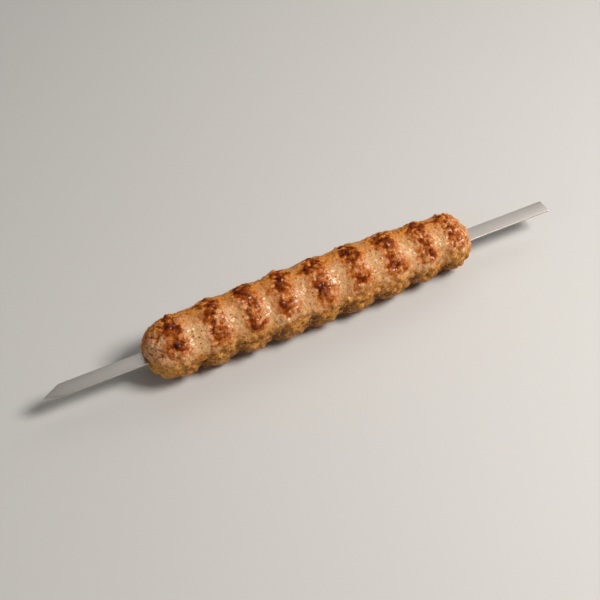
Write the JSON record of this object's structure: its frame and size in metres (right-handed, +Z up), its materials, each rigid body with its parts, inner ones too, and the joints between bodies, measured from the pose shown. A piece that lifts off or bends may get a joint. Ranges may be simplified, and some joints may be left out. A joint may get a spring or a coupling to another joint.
{
  "type": "kofta skewer",
  "caption": "Grilled minced-meat kofta roll with soft pressed ridges and char streaks, moulded round a flat pointed steel skewer that runs right through it and lies on its side.",
  "frame": {"origin": "on the resting surface, under the middle of the object's box", "axes": "+X along the skewer from its point to its square tail, +Y towards the far side, +Z up from the surface the roll lies on"},
  "size_m": [0.2999, 0.0375, 0.0349],
  "materials": {
    "meat": "grilled minced meat: tan and grainy, orange-brown where browned, dark red-brown char streaks on the ridges, slightly greasy",
    "steel": "satin stainless strip with fine scratches"
  },
  "bodies": {
    "root": {"kofta": "meat", "skewer": "steel"}
  },
  "joints": []
}
